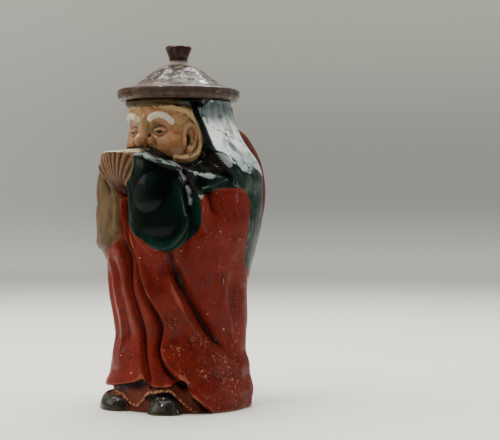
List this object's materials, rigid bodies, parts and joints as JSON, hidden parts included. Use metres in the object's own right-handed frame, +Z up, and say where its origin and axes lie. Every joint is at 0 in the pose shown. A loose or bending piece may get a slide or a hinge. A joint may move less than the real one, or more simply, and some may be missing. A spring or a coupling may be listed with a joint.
{
  "type": "lidded figural jug",
  "caption": "Hollow ceramic jug shaped as a robed, bearded elder holding up a pleated cuff, with a loop handle behind and a lift-off domed lid with a waisted knob.",
  "frame": {"origin": "centre of the flat underside, on the axis of the jug's mouth and lid", "axes": "+Z up along the jug's axis, -Y the way the figure faces, with the handle on +Y, +X to the figure's left"},
  "size_m": [0.1107, 0.1395, 0.2345],
  "materials": {
    "glazed_figure": "dry brick-red slip on stoneware, with glossy dark green and opal white glaze on the sleeve, shoulders and hair",
    "glazed_lid": "glossy iron-brown stoneware glaze with grey and green-white streaks"
  },
  "bodies": {
    "root": {"jug_body": "glazed_figure", "lid": "glazed_lid"}
  },
  "joints": []
}
